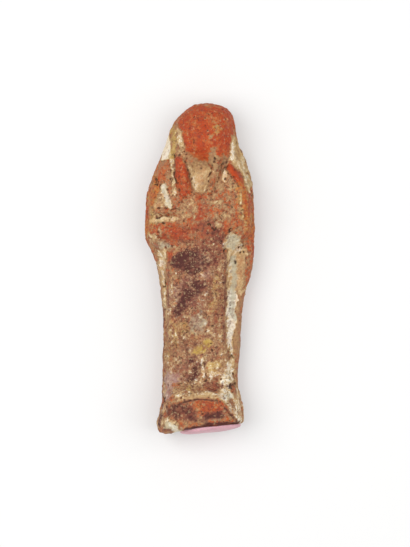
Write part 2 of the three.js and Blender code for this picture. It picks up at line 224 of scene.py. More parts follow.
# From 0, bare red clay, over 0.2, orange, 0.4, the brown film, 0.6, tan, and 0.8, cream, to 1, white.
SLIP_STROKES = [
    (0.51, 3.0, blot((-1, -20), (15, 27))),  # film over the legs
    (0.45, 1.5, streak((6.6, -8), (6.4, -28), 2.2)),
    (0.55, 1.6, blot((-6.6, -20), (4.6, 3))),
    (0.42, 1.2, blot((-0.4, -14.6), (2.6, 4))),
    (0.48, 1.2, blot((1.6, -2.4), (2.8, 2.4))),
    (0.64, 0.9, blot((-8.3, -24.8), (1.6, 1.6))),
    (0.50, 1.5, blot((-6.5, -29), (4.5, 3))),
    (0.56, 1.4, blot((-8.4, -37), (3.6, 4))),
    (0.56, 0.4, streak((-2.4, -11.6), (-0.6, -15.4), 0.22)),  # thin lines over the thighs
    (0.54, 0.4, streak((-0.6, -15.4), (-1.2, -18.2), 0.25)),
    (0.55, 0.4, streak((0.6, -12), (2.2, -16.6), 0.22)),
    (0.55, 0.4, streak((2.2, -16.6), (0.9, -19.4), 0.22)),
    (0.54, 0.4, streak((-2.9, -17.6), (1.8, -18.6), 0.2)),
    (0.15, 0.7, blot((-3.6, -14.6), (1.5, 1.5))),  # bare spots
    (0.22, 0.7, blot((-1, -23), (1.6, 1.3))),
    (0.28, 0.8, blot((4.8, -3.4), (1.8, 1.6))),
    (0.60, 0.7, streak((-13.4, 5), (-11.2, -16), 1.3, 0.9)),  # slab beside the legs, left
    (0.52, 0.9, streak((-11.6, -16), (-12, -44), 0.9)),
    (0.47, 0.9, streak((14, 4), (12.4, -40), 1.7, 1.2)),  # and right
    (0.24, 1.4, blot((-3, 13), (16, 9))),  # arms and hands
    (0.12, 0.9, blot((-7.4, 11), (5.6, 3.0))),
    (0.16, 0.8, blot((-10.2, 4.2), (1.0, 1.3))),
    (0.43, 1.0, blot((-4.6, 19.2), (3.8, 3.2))),
    (0.56, 0.5, streak((-6.8, 21.6), (-2.4, 20.8), 0.4)),
    (0.54, 0.5, streak((-6.4, 18.0), (-4.6, 17), 0.4)),
    (0.54, 0.5, streak((-1.4, 19.4), (-2.4, 16.4), 0.4)),
    (0.31, 1.2, blot((7.4, 19.4), (3.6, 5.2))),
    (0.64, 0.4, streak((4.6, 21.6), (9.4, 22.4), 0.3)),
    (0.62, 0.4, streak((5.2, 17.8), (9.8, 17.2), 0.3)),
    (0.58, 0.4, streak((6.6, 22.2), (7.2, 15.8), 0.3)),
    (0.31, 1.0, blot((1.2, 19.8), (2.0, 4.0))),
    (0.12, 1.2, blot((1.2, 11.4), (6.4, 3.4))),
    (0.50, 0.3, streak((1.9, 7.5), (4.2, 7.9), 0.3)),
    (0.68, 0.3, blot((3.4, 10.2), (0.8, 0.5))),
    (0.66, 0.3, streak((5.2, 15.2), (5.9, 13.4), 0.3)),
    (0.64, 0.4, blot((5.6, 14), (1.2, 0.7))),
    (0.36, 1.0, blot((8.4, 26), (3.4, 3))),
    (0.34, 0.9, blot((-11.8, 32.6), (2.4, 3.6))),  # left arm
    (0.12, 0.6, streak((-14.2, 30), (-16.8, 22), 1.1, 1.5)),
    (0.16, 0.6, streak((-16.8, 22), (-17.2, 11), 1.5)),
    (0.66, 0.8, blot((-13.0, 22.2), (3.4, 2.9))),
    (0.12, 0.5, streak((-15.6, 27), (-17.2, 20), 1.3)),
    (0.82, 0.3, streak((-12.7, 27), (-10.1, 20.8), 0.95, 1.1)),  # groove of the left arm
    (0.76, 0.35, streak((-9.3, 35.6), (-8.4, 24), 0.7, 0.8)),
    (0.50, 0.5, streak((-16.2, 18.6), (-7.2, 18.4), 0.8)),  # across the left arm
    (0.70, 0.4, streak((-16.2, 16), (-7.6, 16.6), 0.85)),
    (0.76, 0.3, streak((-13.6, 13.8), (-13.2, 11.6), 0.35)),
    (0.80, 0.5, streak((-16.4, 10.6), (-13.6, 9.2), 0.9, 1.1)),  # below the left elbow
    (0.55, 0.5, streak((-13.6, 9.2), (-10.0, 6.2), 1.1, 0.9)),
    (0.74, 0.5, streak((-12.8, 7.0), (-12.0, 1.0), 1.3, 0.8)),
    (0.66, 0.4, streak((-8.4, 7.0), (-5.6, 6.3), 0.5)),
    (0.58, 0.7, streak((-10.1, 1.0), (-9.9, -8), 1.0)),
    (0.82, 0.3, streak((-13.0, 2.5), (-11.4, -8.8), 0.36)),  # painted highlight down the slab's left ridge
    (0.80, 0.3, streak((-11.4, -8.8), (-11.2, -13), 0.34)),
    (0.76, 0.3, streak((-10.6, -12.9), (-11.3, -18.4), 0.3)),
    (0.27, 0.9, streak((13, 26), (14.6, 13), 2.2)),  # right arm
    (0.13, 0.6, streak((15.6, 25), (17.0, 7), 1.5)),
    (0.66, 0.3, streak((13.2, 25.4), (14.4, 16), 0.28)),
    (0.37, 0.8, blot((0.6, 36.4), (6.0, 2.8))),  # under the face
    (0.36, 0.6, streak((-4.6, 39), (-2.6, 35), 1.0)),
    (0.56, 0.7, streak((5.8, 39.2), (3.6, 34.8), 1.1)),
    (0.62, 0.5, streak((-0.1, 31.8), (0.1, 27.0), 3.8, 2.4)),  # between the lappets
    (0.76, 0.35, streak((-3.4, 33.4), (-2.4, 27.6), 0.4)),
    (0.74, 0.35, streak((3.3, 33.4), (2.7, 29.0), 0.3)),
    (0.40, 0.8, blot((0.8, 34.2), (1.9, 1.3))),
    (0.05, 0.5, blot((2.2, 47.0), (9.0, 11.6))),  # the worn face
    (0.05, 0.5, streak((0.4, 41), (0.1, 37.6), 4.0, 1.9)),  # its lower end
    (0.07, 0.4, streak((9.0, 47), (9.3, 38.2), 1.8, 1.1)),
    (0.48, 0.5, streak((4.5, 38.8), (3.4, 35.2), 0.9, 1.3)),
    (0.34, 0.7, streak((5.1, 48.4), (5.5, 44.6), 0.6)),
    (0.30, 0.7, streak((3.6, 43.0), (6.8, 46.4), 0.4)),
    (0.22, 0.7, streak((-0.6, 54.2), (6.5, 54.4), 0.5)),
    (0.52, 0.5, streak((-8.8, 47), (-8.9, 37.6), 0.8)),  # wig, left
    (0.72, 0.35, streak((-7.4, 45.4), (-6.2, 39), 1.2, 0.9)),
    (0.60, 0.4, streak((-6.2, 39), (-5.2, 37), 0.9, 0.7)),
    (0.95, 0.22, streak((-10.5, 43.6), (-11.4, 37.6), 0.5, 1.9)),
    (0.66, 0.4, streak((10.7, 43.4), (11.8, 37), 0.7, 2.2)),  # wig, right
    (0.64, 0.4, streak((11.8, 37), (16.0, 28.0), 2.2, 1.5)),
    (0.86, 0.3, streak((10.4, 41), (10.8, 36.4), 0.4, 0.9)),
    (0.78, 0.4, streak((11.2, 36.2), (13.6, 32.6), 0.9, 0.5)),
    (0.78, 0.3, streak((13.8, 32.4), (16.2, 25.6), 0.4)),
    (0.05, 0.35, streak((-7.2, 35.6), (-6.4, 30.6), 1.2, 2.3)),  # lappets
    (0.05, 0.4, streak((-6.4, 30.6), (-4.9, 25.4), 2.3, 2.4)),
    (0.66, 0.7, streak((5.6, 35.4), (4.6, 28.4), 1.1, 1.5)),
    (0.36, 0.7, streak((5.0, 28.4), (3.0, 24.8), 1.5, 1.3)),
    (0.16, 0.5, streak((-3.4, 24.2), (3.0, 24.3), 0.8)),
    (0.76, 0.35, streak((9.4, 36.0), (7.9, 28.8), 0.45)),
    (0.25, 0.3, streak((7.4, 35.2), (6.8, 30), 0.4)),
    (0.02, 0.3, streak((9.8, 33.8), (13.6, 28.2), 1.3)),
    (0.73, 0.35, blot((10.8, 8.2), (3.2, 2.9))),  # below the right elbow
    (0.78, 0.45, blot((12.4, 4.6), (2.9, 2.6))),
    (0.74, 0.35, streak((10.7, 4), (10.6, -11), 2.1)),  # down the long hollow
    (0.68, 0.6, streak((13.4, 4), (12.8, -8), 1.7, 1.3)),
    (0.98, 0.35, streak((10.6, -9), (9.8, -18), 1.9, 1.6)),
    (0.92, 0.3, streak((9.8, -18), (9.5, -24.4), 1.6, 1.0)),
    (0.90, 0.3, streak((9.8, -24), (10.2, -29), 0.9, 0.4)),
    (0.74, 0.5, streak((10.4, -30), (9.8, -34), 0.9, 1.6)),
    (0.92, 0.45, streak((8.9, -33), (8.4, -41), 1.4, 1.8)),  # beside the ankle and the foot
    (0.92, 0.5, blot((9.2, -42.6), (3.0, 1.4))),
    (0.46, 0.6, streak((12, -31), (12.2, -39), 0.9)),
    (0.74, 0.4, streak((12.0, -42), (13.6, -50.6), 1.5)),
    (0.90, 0.3, streak((0.2, -30.7), (1.3, -37.3), 0.5)),  # shin
    (0.74, 0.6, blot((4, -34), (3.0, 3.0))),
    (0.74, 0.4, streak((-3.2, -37.3), (-3.6, -40.2), 0.7)),
    (0.64, 0.6, blot((-5.6, -41), (2.2, 0.9))),
    (0.20, 0.8, blot((4.0, -39.6), (2.3, 1.5))),
    (0.74, 0.5, streak((-8, -42.6), (5, -41.6), 0.8)),
    (0.24, 0.7, blot((-6.6, -48), (5.6, 2.8))),  # foot
    (0.42, 0.7, blot((9, -47.6), (2.4, 2.8))),
    (0.06, 0.35, blot((2.2, -46.6), (4.9, 2.7), -8)),
    (0.84, 0.3, streak((-7.2, -44.3), (-5, -43.3), 0.4)),  # edge over the toes
    (0.78, 0.3, streak((-5, -43.3), (-2, -42.7), 0.45)),
    (0.78, 0.3, streak((-2, -42.7), (3.9, -42.3), 0.45)),
    (0.90, 0.3, streak((3.9, -42.3), (6.9, -43.4), 0.5)),
    (0.92, 0.3, streak((6.9, -43.4), (9.8, -46.0), 0.55)),
    (0.94, 0.3, streak((9.8, -46.0), (13.2, -51.2), 0.6)),
    (0.74, 0.6, streak((-11.6, -42), (-11.8, -47.4), 0.9)),  # slab beside the foot
    (0.55, 0.5, blot((-10.6, -44.2), (2.4, 1.3))),
    (0.68, 0.6, streak((-13.0, -50.8), (-8.4, -52.4), 2.0, 2.0)),
    (1.00, 0.5, streak((-9.8, -52.6), (-7.6, -53.6), 1.1)),
    (0.46, 0.3, streak((-5.6, -51.2), (8.4, -50.1), 0.4)),  # toe ridge; painted shadow above the sole
    (0.10, 0.25, streak((-4.6, -53.4), (3.2, -52.2), 0.4)),
    (0.10, 0.25, streak((3.2, -52.2), (12.7, -51.5), 0.35)),
]

# From 0.2, a purple-brown wash, to 1, a dark core.
STAIN_STROKES = [
    (0.24, 3.0, blot((-1, -20), (14, 26))),  # legs
    (0.14, 1.5, blot((0, 19), (16, 5))),  # hands and forearms
    (0.36, 1.0, blot((1.4, 19.4), (2.4, 3.6))),
    (0.28, 1.2, blot((-7, 10.8), (6, 3.6))),
    (0.40, 1.8, blot((2.6, 12), (6.6, 3.8))),
    (0.72, 1.2, blot((4.6, 10.2), (3.6, 2.6))),  # belly
    (0.86, 1.0, blot((3.0, 7.2), (2.6, 1.8))),
    (0.60, 1.6, blot((1.6, 3.4), (6.2, 5.6))),
    (1.08, 1.0, blot((-4.9, 2.4), (4.6, 4.0))),
    (0.80, 0.9, blot((-0.6, 1.9), (2.5, 2.2), -20)),
    (1.00, 0.8, streak((-7.0, 0.2), (-1.4, -1.2), 1.4)),
    (0.34, 0.8, blot((2.2, -1.8), (1.9, 1.4))),
    (0.66, 1.4, blot((-1.6, -6.6), (5.4, 3.8))),  # thighs
    (1.00, 1.0, streak((0.8, -5.0), (-4.6, -9.0), 1.6)),
    (1.02, 1.0, streak((-4.6, -9.0), (-7.0, -15.0), 2.1, 1.7)),
    (0.34, 1.2, streak((7.6, 4), (7.6, -18), 0.9)),
    (0.62, 1.0, streak((3.4, -5), (3.4, -10), 1.0)),
    (0.40, 1.4, blot((-0.2, -13.2), (3.0, 3.4))),  # knees
    (0.48, 1.2, blot((-4, -25.4), (3.8, 2.2))),
    (0.32, 1.2, blot((6.2, -21), (2.0, 6))),
    (0.66, 0.7, streak((-3.6, -30.4), (0.0, -31), 0.7)),  # shins
    (0.94, 1.4, blot((-2.6, -34.4), (2.6, 4.2))),
    (0.42, 1.2, blot((-6.4, -33.6), (3.2, 1.8))),
    (0.70, 0.9, blot((4.2, -39.6), (2.4, 1.5))),
    (0.80, 0.9, blot((-6.4, -47.8), (5.4, 3.0))),  # foot
    (0.94, 0.7, blot((-8, -47), (2.6, 1.5))),
    (0.92, 0.7, streak((-4.4, -49.4), (-1.4, -50), 1.0)),
    (0.26, 0.5, blot((2.2, -46.6), (4.6, 2.4), -8)),
    (0.98, 0.5, streak((1.6, -50.0), (7.4, -48.2), 1.0, 1.3)),
    (0.85, 0.5, streak((-1.8, -50.2), (2.2, -50.2), 0.6)),
    (0.34, 0.6, blot((9.2, -47.4), (1.8, 2.0))),
    (1.05, 0.3, streak((-4.6, -53.2), (3.2, -52.0), 0.5)),  # painted shadow under the lip, above the sole
    (1.05, 0.3, streak((3.2, -52.0), (12.7, -51.4), 0.45)),
    (0.90, 0.25, streak((-7, -45.3), (-5, -44.3), 0.28)),  # shadow under the edge over the toes
    (0.90, 0.25, streak((-5, -44.3), (-2, -43.8), 0.28)),
    (0.90, 0.25, streak((-2, -43.8), (3.8, -43.5), 0.28)),
    (0.90, 0.25, streak((3.8, -43.5), (6.3, -44.5), 0.28)),
    (0.85, 0.25, streak((6.3, -44.5), (9.0, -46.9), 0.28)),
    (0.85, 0.25, streak((9.0, -46.9), (12.0, -51.0), 0.28)),
    (0.75, 0.5, streak((10.2, -39), (11.2, -41.4), 0.55)),  # slab beside the foot
    (0.55, 0.4, streak((12.6, -43), (13.9, -49), 0.35)),
    (0.66, 0.5, blot((-13.2, -50.2), (1.2, 1.4))),
    (0.90, 0.3, streak((-13.6, -49.4), (-11.0, -48.9), 0.3)),
    (0.90, 0.3, streak((-13.9, -50.4), (-13.2, -53.2), 0.3)),
    (0.80, 0.3, streak((-12.6, -53.6), (-9.6, -54.2), 0.3)),
    (0.12, 0.3, streak((1.9, 7.5), (4.2, 7.9), 0.35)),  # clean crumbs of slip on the belly and forearm
    (0.12, 0.3, blot((3.4, 10.2), (0.8, 0.5))),
    (0.12, 0.3, streak((5.2, 15.2), (5.9, 13.4), 0.3)),
    (0.70, 0.3, streak((8.2, 5), (8.0, -24), 0.25)),  # painted shade in the creases beside the legs
    (0.75, 0.4, streak((-12.5, -14), (-12.8, -46), 0.35)),
    (0.66, 0.3, streak((-10.5, 4), (-10.2, -14), 0.25)),
    (0.45, 0.3, streak((8.5, 33), (12.8, 27), 0.25)),  # painted shade in the creases of the lappets and arms
    (0.05, 0.4, streak((9.8, 33), (13.8, 27.6), 0.8)),
    (0.50, 0.3, streak((-9.9, 24), (-8.4, 20), 0.3)),
    (0.40, 0.3, streak((-8.4, 36.6), (-9.0, 30), 0.25)),
    (0.56, 0.3, streak((-4.9, 35.6), (-3.6, 29), 0.25)),
    (0.50, 0.3, streak((-3.6, 29), (-2.0, 25.4), 0.25)),
    (0.50, 0.3, streak((10.0, 35.0), (15.4, 27.9), 0.25)),
]

# How strong each tint is.
OCHRE_STROKES = [
    (0.38, 2.0, blot((-6, -27), (6, 6))),
    (0.46, 1.0, streak((4.6, -2.4), (4.6, -14), 1.8)),
    (1.40, 0.6, blot((-0.4, -27.6), (2.4, 1.3))),
    (1.20, 0.7, blot((2.4, -24.8), (1.8, 1.8))),
    (0.46, 1.2, blot((-6.6, -20), (4, 2.8))),
    (0.30, 1.2, streak((6.4, -6), (6.2, -26), 1.4)),
    (0.75, 0.8, blot((4.2, -33), (2.6, 2.2))),
    (0.85, 0.4, streak((-3.2, -37.3), (-3.6, -40.2), 0.9)),
    (0.70, 0.5, streak((-8.9, 47), (-8.9, 37), 0.9)),
    (0.45, 0.8, streak((-15, 30), (-17.6, 12), 1.4)),
    (0.40, 1.0, streak((12, 43), (16, 28), 1.8)),
    (0.45, 1.0, blot((5.3, 46), (1.4, 3))),
    (0.45, 1.0, streak((13, 27), (16.4, 13), 2)),
    (0.22, 0.8, blot((2, -46.4), (4.6, 2.6))),
]

GREY_STROKES = [
    (0.75, 0.5, streak((-12.6, 27), (-10.2, 21), 1.0)),
    (0.80, 0.8, blot((-11.8, 7.4), (2.2, 1.2))),
    (0.40, 0.6, streak((-14, 16), (-11, 16.4), 0.7)),
    (0.35, 0.8, blot((0, 29.4), (2.0, 3.4))),
    (0.95, 0.9, blot((11.0, 8.4), (2.6, 2.6))),
    (1.10, 0.5, streak((11.2, 3), (10.8, -16), 1.0)),
    (0.75, 0.6, blot((9.8, -42.8), (2.6, 1.3))),
    (0.85, 0.7, blot((-9.4, -52.6), (2.8, 1.6))),
    (0.50, 0.6, streak((8.6, -36), (8.4, -41), 1.2)),
    (0.75, 1.2, blot((-0.6, -18.6), (2.8, 3.0))),
    (0.45, 1.0, streak((-13.4, 3), (-12.6, -14), 1.2)),
    (0.60, 0.8, streak((2.2, -50.4), (8.0, -48.6), 1.0)),
    (0.60, 0.8, streak((13.6, 36), (16.2, 28), 0.8)),
]

LILAC_STROKES = [
    (1.30, 1.0, blot((-8.6, -36.4), (2.8, 1.8))),
    (1.10, 0.9, streak((-10.4, -37), (-10.8, -43), 1.2)),
    (0.60, 1.4, blot((1.6, -2.6), (2.6, 2.2))),
    (0.50, 1.4, blot((-1.6, 2.4), (5.4, 3.4))),
    (0.45, 1.6, blot((-4, -8), (5.4, 6))),
    (0.35, 1.6, blot((-5, -30), (5, 6))),
]

# How strongly the coats are broken up.
BROKEN_STROKES = [
    (1.30, 2.0, blot((-1, -18), (11, 26))),
    (0.80, 1.0, blot((0, 19), (12, 8))),
    (1.40, 1.2, blot((1, 4), (9, 12))),
    (0.90, 1.0, blot((-1, 12), (7, 3.2))),
    (0.60, 0.8, blot((2.2, 46), (9, 12))),
    (0.40, 0.4, streak((-16.2, 16), (-7.6, 16.6), 1.0)),
    (0.50, 0.8, streak((13.6, 4), (12.6, -30), 1.2)),
    (0.70, 0.6, streak((-6.8, 35), (-5.2, 26), 2.2)),
    (0.45, 0.5, streak((-13.0, 2.5), (-11.2, -18), 0.9)),
    (0.30, 0.6, streak((9.8, 33.8), (14.3, 27.6), 1.3)),
    (0.80, 0.6, streak((5.8, 35.4), (3.4, 25.4), 1.6)),
    (0.40, 0.8, blot((0.6, 36.8), (6.2, 2.8))),
    (0.55, 0.8, blot((-12.6, 32), (2.8, 5))),
    (0.05, 0.4, streak((-10.5, 43.6), (-11.4, 37.6), 0.8, 2.0)),
    (0.45, 0.6, blot((0, 30.4), (3.6, 5))),
    (0.60, 0.8, streak((11, 42), (16, 28), 2.4)),
    (0.30, 0.5, streak((9.0, 35.6), (7.4, 29.4), 1.2)),
    (0.70, 0.6, streak((-13.0, 7.0), (-12.2, 1.0), 1.4)),
    (0.35, 0.4, streak((-12.4, 27), (-9.9, 20.8), 1.0)),
    (0.50, 0.8, streak((10.8, 9), (10.6, -10), 2.4, 2.2)),
    (0.30, 0.8, streak((10.6, -12), (10.2, -26), 2.2, 1.4)),
    (0.90, 0.8, blot((2.2, -46.6), (4.4, 2.4))),
    (0.15, 0.4, streak((-7.2, -44.3), (3.9, -42.3), 0.6)),
    (0.15, 0.4, streak((3.9, -42.3), (9.8, -46.0), 0.6)),
    (0.25, 0.4, streak((9.8, -46.0), (13.2, -51.2), 0.7)),
    (1.10, 0.8, blot((-7, -48), (5.4, 3))),
    (1.20, 0.8, streak((9, -43), (13, -50), 1.8)),
    (1.10, 0.6, blot((-12.6, 8.4), (3.2, 2.0))),
]

# From 0, whole clay, to 1, a hole.
HOLES = [
    (1.0, 0.25, blot((10.4, -29.3), (0.45, 0.8))),
    (1.0, 0.25, blot((13.4, 5.3), (0.6, 0.4))),
    (1.0, 0.25, blot((11.8, 2.3), (0.5, 0.5))),
    (0.8, 0.25, blot((8.6, 5.8), (0.35, 0.45))),
    (0.9, 0.25, blot((4, 13.1), (0.55, 0.4))),
    (0.8, 0.25, blot((2.7, 14.6), (0.35, 0.35))),
    (0.7, 0.3, blot((9.7, 12.2), (0.6, 0.5))),
    (0.9, 0.25, blot((-12.4, 14.9), (0.4, 0.4))),
    (0.9, 0.25, streak((-14.8, 29.8), (-15, 28.2), 0.45)),
    (0.8, 0.25, blot((-8.5, 37.2), (0.4, 0.5))),
    (1.0, 0.3, blot((10.4, -39.4), (0.6, 0.9))),
    (0.9, 0.3, blot((11.2, -41), (0.5, 0.8))),
    (0.9, 0.3, blot((-12.3, -44), (0.45, 0.8))),
    (0.8, 0.3, blot((-13.2, -50.2), (0.5, 0.6))),
    (0.7, 0.3, blot((-12.2, -52.2), (0.5, 0.4))),
]

LEAST_FRAY = 0.12  # how far even a crisp edge frays, in drawn millimetres


def paint(xy, fray, start, strokes):
    """Lays the strokes over a plain start value. Fray breaks their edges up, the soft ones most."""
    value = np.full(len(xy), float(start))
    for level, softness, shape in strokes:
        cover = ramp(shape(xy) + fray * (softness + LEAST_FRAY), -softness, softness)
        value += (level - value) * cover
    return value


# ---- mesh helpers -------------------------------------------------------------------------------
def activate(obj):
    if bpy.context.object and bpy.context.object.mode != "OBJECT":
        bpy.ops.object.mode_set(mode="OBJECT")
    bpy.ops.object.select_all(action="DESELECT")
    bpy.context.view_layer.objects.active = obj
    obj.select_set(True)


def apply_modifier(obj, kind, **settings):
    activate(obj)
    modifier = obj.modifiers.new(kind.title(), kind)
    for key, value in settings.items():
        setattr(modifier, key, value)
    bpy.ops.object.modifier_apply(modifier=modifier.name)


def read_vertices(obj, what):
    numbers = np.zeros(len(obj.data.vertices) * 3, np.float32)
    obj.data.vertices.foreach_get(what, numbers)
    return numbers.reshape(-1, 3).astype(float)


def vertex_places(obj):
    return read_vertices(obj, "co")


def vertex_normals(obj):
    return read_vertices(obj, "normal")


def set_vertex_places(obj, places):
    obj.data.vertices.foreach_set("co", places.astype(np.float32).ravel())
    obj.data.update()


def store(obj, name, values):
    attribute = obj.data.attributes.new(name, "FLOAT", "POINT")
    attribute.data.foreach_set("value", values.astype(np.float32))


def neighbour_mean(obj, values, rounds):
    """Values evened out along the mesh's edges."""
    edges = np.zeros(len(obj.data.edges) * 2, np.int32)
    obj.data.edges.foreach_get("vertices", edges)
    a, b = edges[0::2], edges[1::2]
    count = np.bincount(np.r_[a, b], minlength=len(values)).astype(float)
    values = values.reshape(len(values), -1).astype(float)
    for _ in range(rounds):
        total = np.zeros_like(values)
        for k in range(values.shape[1]):
            total[:, k] = np.bincount(a, values[b, k], len(values))
            total[:, k] += np.bincount(b, values[a, k], len(values))
        values = 0.5 * values + 0.5 * total / count[:, None]
    return values.squeeze()


# ---- the clay body ------------------------------------------------------------------------------
WELD_GAP = 0.002  # drawn millimetres between corners that are one and the same
SMOOTHING_ROUNDS = 5

# Rounds of evening out against which hollows, the sides, the rims of the slip and the pits show up.
HOLLOW_ROUNDS, SIDE_ROUNDS, RIM_ROUNDS, PIT_ROUNDS = 60, 12, 5, 6

FRONT_FROM, FRONT_TO = 5, 8  # heights between which the sides give way to the front, in drawn millimetres
THICK_FROM, THICK_TO = 0.5, 0.72  # amounts between which the slip becomes a thick one


def fine_copy(node, name, grain):
    """The CAD node's form again, as an even mesh fine enough to carry the wear."""
    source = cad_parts[node]
    body = bpy.data.objects.new(name, source.data.copy())
    bpy.context.scene.collection.objects.link(body)
    body.data.materials.clear()
    activate(body)
    bpy.ops.object.mode_set(mode="EDIT")
    bpy.ops.mesh.select_all(action="SELECT")
    bpy.ops.mesh.remove_doubles(threshold=WELD_GAP * MM)
    bpy.ops.mesh.tris_convert_to_quads()
    bpy.ops.object.mode_set(mode="OBJECT")
    apply_modifier(body, "SUBSURF", levels=1, render_levels=1)
    apply_modifier(body, "REMESH", mode="VOXEL", voxel_size=grain, adaptivity=0)
    apply_modifier(body, "SMOOTH", factor=0.5, iterations=SMOOTHING_ROUNDS)
    return body


# Crisper carving, as heights over the solid in drawn millimetres, on what faces up.
CARVING = [
    (0.35, 1.2, blot((2.2, 46.8), (8.6, 11.2))),  # the worn face
    (0.75, 0.6, streak((-6.7, 36), (-6.1, 30.6), 1.5, 2.0)),  # lappets
    (0.75, 0.6, streak((-6.1, 30.6), (-4.9, 25.6), 2.0, 1.8)),
    (0.70, 0.6, streak((6.2, 36.2), (3.3, 25.8), 1.2)),
    (-0.60, 0.7, blot((0.3, 30.4), (3.3, 5.8))),
    (-0.25, 0.6, streak((8.8, 35.2), (8, 29.8), 0.6)),
    (0.80, 0.5, streak((10, 33), (13.7, 28), 1.0)),  # right arm
    (0.35, 0.8, streak((14.4, 26), (16.6, 14), 1.4)),
    (0.35, 0.7, streak((-13.4, 34), (-16.4, 22), 1.2)),  # left arm
    (-0.35, 0.8, streak((-12.4, 27.0), (-10.0, 21), 0.9)),
    (0.55, 0.5, streak((-16, 18.8), (-8.4, 18.7), 0.7)),
    (-0.30, 0.8, streak((-15.6, 16.1), (-8.8, 16.5), 0.8)),
    (0.45, 0.9, streak((-13.6, 12.6), (-4, 10.8), 1.8)),  # forearms
    (0.25, 0.9, streak((4, 13.4), (12, 15), 1.6)),
    (-0.60, 0.7, blot((11.4, 7.2), (2.8, 3.2))),  # below the right elbow and down the long hollow
    (-0.40, 0.8, streak((10.7, 3.6), (10.3, -28), 1.3, 0.7)),
    (-0.30, 0.4, streak((-12.3, 3), (-11, -18), 0.35)),
    (0.40, 0.4, streak((-7.2, -44.4), (-2, -43), 0.4)),  # edge over the toes
    (0.45, 0.4, streak((-2, -43), (5.6, -43), 0.45)),
    (0.50, 0.4, streak((5.6, -43), (12.6, -50.4), 0.5)),
    (-0.35, 1.3, blot((2, -46.6), (4.6, 2.8))),
    (0.25, 0.4, streak((-6, -51.6), (9, -50.2), 0.4)),
]


def surface_noise(p):
    """The unevenness that the carving, the coats and the wear share, from broad swells to fine grain."""
    return SimpleNamespace(
        broad=lumps(p, size=14, seed=3),
        middle=lumps(p, size=4.5, seed=5),
        ragged=lumps(p, size=1.7, seed=7),
        fine=lumps(p, size=0.9, seed=11, octaves=2),
    )


def carve(body, p, noise):
    """Raises and sinks the carving on what faces up, and gives the new places."""
    upwards = ramp(vertex_normals(body)[:, 2], 0.05, 0.6)
    fray = 0.4 * noise.middle + 0.3 * noise.ragged
    height = sum(raised * ramp(shape(p[:, :2]) + fray * soft, -soft, soft) for raised, soft, shape in CARVING)
    p[:, 2] += height * upwards
    set_vertex_places(body, p * MM)
    return p


def lay_coats(body, p, side, noise):
    """How much of each coat every point has, where the holes are, and the painted shadow round the slip's
    rims.
    """
    fray = 0.8 * noise.ragged + 0.7 * noise.fine + 0.4 * noise.middle
    xy = p[:, :2] + 0.5 * np.stack([lumps(p, size=3.4, seed=31), lumps(p, size=3.4, seed=37)], axis=1)
    # The strokes are drawn on the front. Below its edge the sides and back are plainer.
    front = ramp(p[:, 2] + 0.8 * noise.middle, FRONT_FROM, FRONT_TO)

    def coat(start, strokes, behind):
        return front * paint(xy, fray, start, strokes) + (1 - front) * behind

    broken = coat(0.8, BROKEN_STROKES, 0.8)
    streaky = lumps(p * np.array([1, 0.45, 1]), size=1.7, seed=83)

    # The slip starts as drawn. Hollows keep more of it, and then it breaks up, its gaps shallower than
    # its crumbs are high where it is most broken. Thin slip is lowered on the sides, which darkens them.
    drawn = coat(0.34, SLIP_STROKES, 0.34 + 0.24 * noise.broad + 0.22 * noise.middle)
    thick = ramp(drawn, THICK_FROM, THICK_TO)
    hollow = neighbour_mean(body, p[:, 2], HOLLOW_ROUNDS) - p[:, 2]
    slip = drawn + np.clip(0.25 * hollow, -0.1, 0.12)
    swing = broken * (0.12 * lumps(p, size=2.8, seed=89) + 0.17 * streaky + 0.15 * noise.fine)
    slip = slip + np.maximum(swing, (1 - 0.45 * ramp(broken, 0.8, 1.2)) * swing)
    slip = slip - 0.5 * side * (1 - thick) * np.maximum(slip - 0.25, 0)

    stain = coat(0.12, STAIN_STROKES, 0.3 + 0.3 * lumps(p, size=9, seed=13) + 0.2 * noise.middle)
    mottle = lumps(p, size=1.2, seed=101, octaves=2)
    stain = stain + broken * (0.10 * lumps(p, size=2.4, seed=97) - 0.10 * streaky + 0.12 * mottle)
    return SimpleNamespace(
        slip=slip,
        stain=stain,
        ochre=coat(0.0, OCHRE_STROKES, 0.1 + 0.3 * lumps(p, size=7, seed=17)),
        grey=coat(0.1, GREY_STROKES, 0.2 + 0.3 * noise.broad),
        lilac=coat(0.0, LILAC_STROKES, 0.1 + 0.3 * lumps(p, size=6, seed=19)),
        broken=broken,
        holes=front * paint(xy, 1.8 * noise.fine + noise.ragged, 0, HOLES),
        thick=thick,
        rim_shadow=np.clip(neighbour_mean(body, drawn, RIM_ROUNDS) - drawn, 0, 0.3),
    )


def chaff_pits(p, thick):
    """Pits that burnt-out chaff has left: a few large ones, which thick slip half fills, and small ones."""
    bent = p + 0.35 * np.stack([lumps(p, size=1.3, seed=71 + k, octaves=2) for k in range(3)], axis=1)
    large = pits(bent, size=1.7, seed=53, share=0.03) * (1 - 0.5 * thick)
    return np.maximum(large, 0.6 * pits(bent, size=1.15, seed=59, share=0.09))


